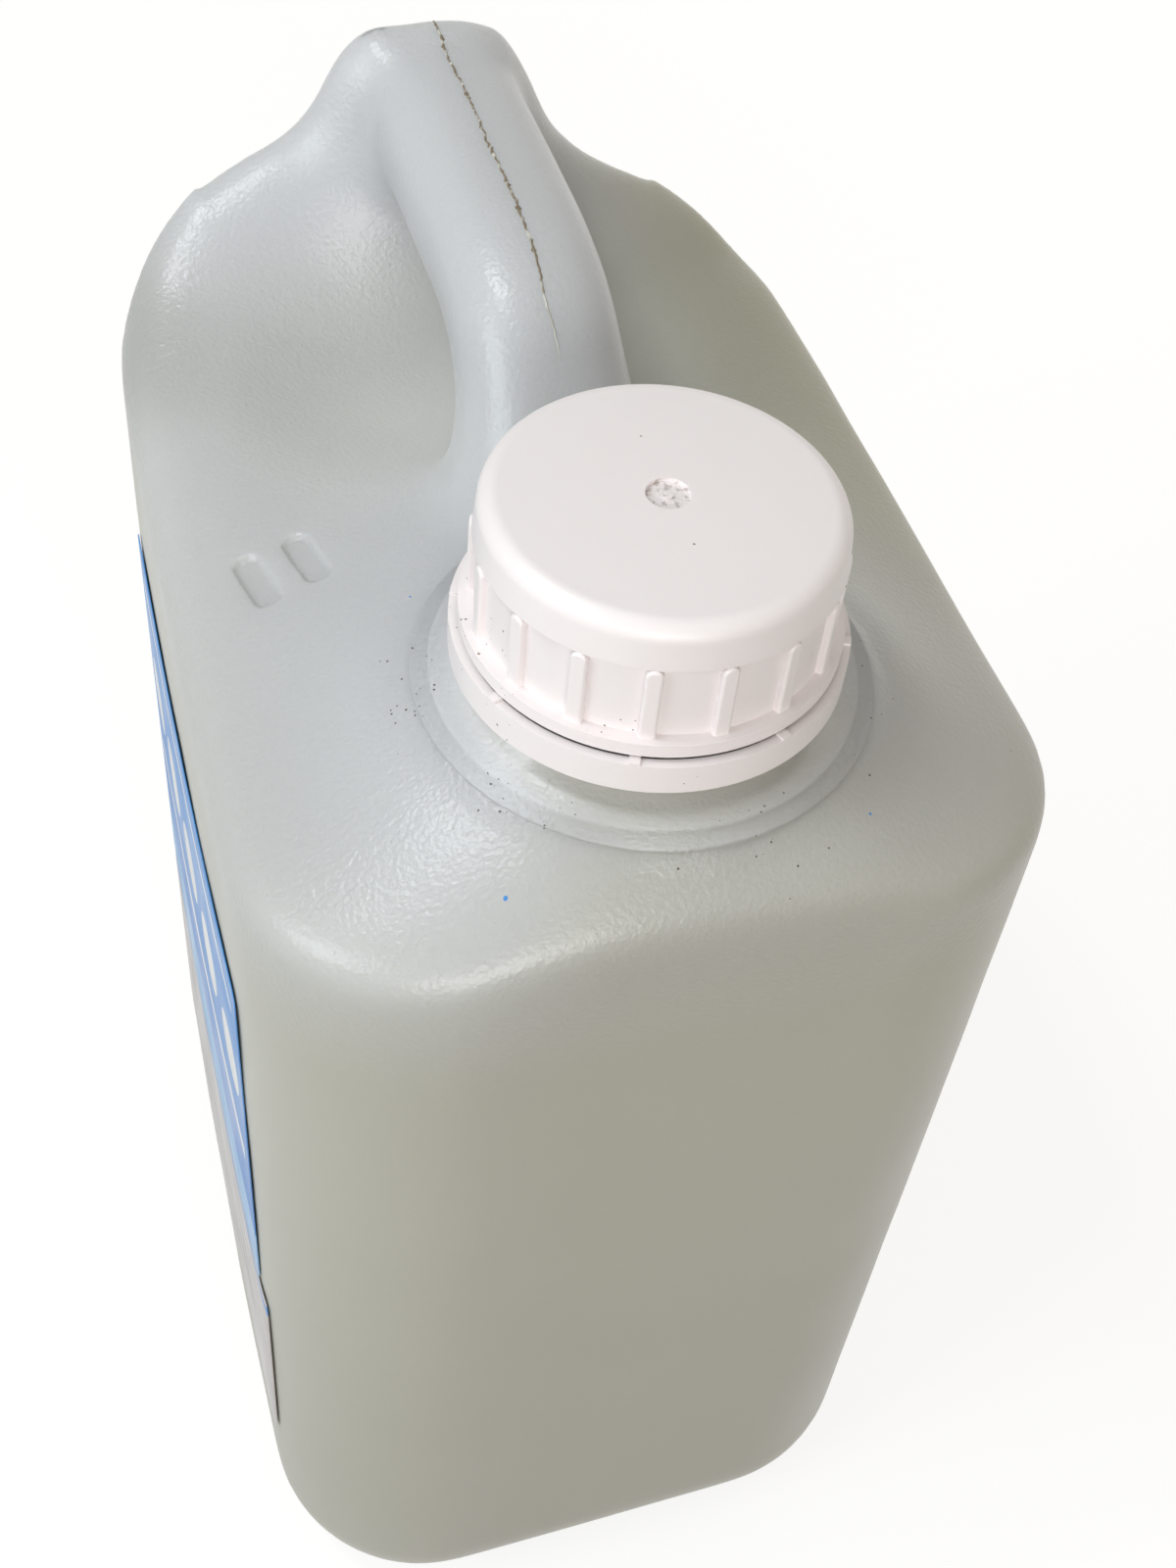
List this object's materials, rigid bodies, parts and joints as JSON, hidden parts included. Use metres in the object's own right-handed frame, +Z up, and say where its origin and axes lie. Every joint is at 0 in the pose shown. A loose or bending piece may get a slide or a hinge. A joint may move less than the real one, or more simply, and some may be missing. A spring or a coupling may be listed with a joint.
{
  "type": "bleach bottle",
  "caption": "Blow-moulded translucent jerrycan bottle with an integral top handle, a ribbed screw cap over a tamper ring, plain side labels and a liquid fill.",
  "frame": {"origin": "middle of the base on the floor", "axes": "+Z up, -Y towards the neck, +X to the right when the neck faces the viewer"},
  "size_m": [0.1343, 0.1826, 0.2848],
  "materials": {
    "natural_plastic": "satin translucent wall with a fine moulded grain",
    "cap_plastic": "satin opaque white with a little dirt",
    "liner_foam": "plain white foam",
    "label_blue": "printed blue label film",
    "label_white": "printed white label film",
    "bleach": "clear pale yellow liquid"
  },
  "bodies": {
    "bottle": {"bottle_body": "natural_plastic", "tamper_ring": "cap_plastic", "label_upper": "label_blue", "label_lower": "label_white", "bleach_fill": "bleach"},
    "cap_seal": {"cap_liner": "liner_foam"},
    "cap": {"screw_cap": "cap_plastic"}
  },
  "joints": [
    {"name": "cap_lift", "type": "slide", "parent": "bottle", "child": "cap_seal", "axis": [0, 0, 1], "range_m": [0, 0.024]},
    {"name": "cap_turn", "type": "hinge", "parent": "cap_seal", "child": "cap", "pos_m": [0, -0.0478, 0.27], "axis": [0, 0, 1], "range_deg": [0, 1440]}
  ],
  "couplings": [
    {"joint": "cap_lift", "follows": "cap_turn", "m_per_rad": 0.000954}
  ]
}
